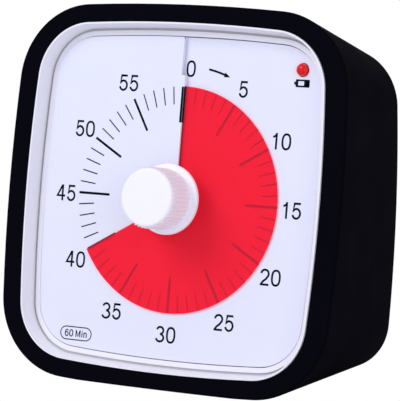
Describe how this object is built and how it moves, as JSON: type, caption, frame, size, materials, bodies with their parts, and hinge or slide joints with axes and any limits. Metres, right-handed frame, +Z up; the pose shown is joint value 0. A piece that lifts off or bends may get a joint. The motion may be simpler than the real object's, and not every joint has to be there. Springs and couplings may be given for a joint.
{
  "type": "visual countdown timer",
  "caption": "Square desk countdown timer: ribbed centre knob, spiral dial with red elapsed-time disc, white bezel, leaning black soft cover and rear battery door.",
  "frame": {"origin": "centre of the flat foot on the underside, on the surface it stands on", "axes": "+Z up, -Y towards the viewer of the dial, +X to the viewer's right; the dial leans back 8 degrees"},
  "size_m": [0.0946, 0.0579, 0.0942],
  "materials": {
    "cover_silicone": "matt",
    "white_frame": "satin",
    "white_knob": "satin",
    "white_dial": "matt",
    "clear_lens": "polished",
    "red_film": "satin",
    "black_shell": "matt",
    "gear_nylon": "satin",
    "steel": "satin",
    "cell_sleeve": "satin",
    "board": "satin",
    "led_red": "polished"
  },
  "bodies": {
    "case": {"silicone_cover": "cover_silicone", "front_bezel": "white_frame", "lens": "clear_lens", "dial_plate": "white_dial", "chassis_plate": "black_shell", "movement_case": "black_shell", "motor": "steel", "rear_housing": "black_shell", "battery": "cell_sleeve", "contact_plate": "steel", "contact_spring": "steel", "circuit_board": "board", "switch_body": "steel", "buzzer": "black_shell", "led_indicator": "led_red", "chassis_screws": "steel", "case_screws": "steel"},
    "dial_knob": {"knob": "white_knob", "output_shaft": "steel", "output_wheel": "gear_nylon"},
    "disc": {"red_disc": "red_film", "disc_hub": "white_frame"},
    "second": {"second_wheel": "gear_nylon"},
    "third": {"third_wheel": "gear_nylon"},
    "rotor": {"rotor_pinion": "gear_nylon"},
    "door": {"battery_door": "black_shell"},
    "switch": {"volume_switch": "black_shell"}
  },
  "joints": [
    {"name": "knob_turn", "type": "hinge", "parent": "case", "child": "dial_knob", "pos_m": [0, -0.0158, 0.04601], "axis": [0, 0.9903, -0.1392], "range_deg": [-240, 120]},
    {"name": "disc_climb", "type": "slide", "parent": "dial_knob", "child": "disc", "axis": [0, -0.9903, 0.1392], "range_m": [-0.00088, 0.00044]},
    {"name": "second_turn", "type": "hinge", "parent": "case", "child": "second", "pos_m": [-0.01273, -0.01403, 0.05861], "axis": [0, 0.9903, -0.1392], "range_deg": [-601, 1201]},
    {"name": "third_turn", "type": "hinge", "parent": "case", "child": "third", "pos_m": [-0.00124, -0.01269, 0.06816], "axis": [0, 0.9903, -0.1392], "range_deg": [-4801, 2401]},
    {"name": "rotor_turn", "type": "hinge", "parent": "case", "child": "rotor", "pos_m": [0.009, -0.01369, 0.06106], "axis": [0, 0.9903, -0.1392], "range_deg": [-9601, 19201]},
    {"name": "door_hinge", "type": "hinge", "parent": "case", "child": "door", "pos_m": [0, 0.02318, 0.01028], "axis": [-1, 0, 0], "range_deg": [0, 95]},
    {"name": "volume_slide", "type": "slide", "parent": "case", "child": "switch", "axis": [1, 0, 0], "range_m": [-0.003, 0.003]}
  ],
  "couplings": [
    {"joint": "disc_climb", "follows": "knob_turn", "m_per_rad": 0.0002069},
    {"joint": "second_turn", "follows": "knob_turn", "ratio": -5},
    {"joint": "third_turn", "follows": "knob_turn", "ratio": 20},
    {"joint": "rotor_turn", "follows": "knob_turn", "ratio": -80}
  ]
}
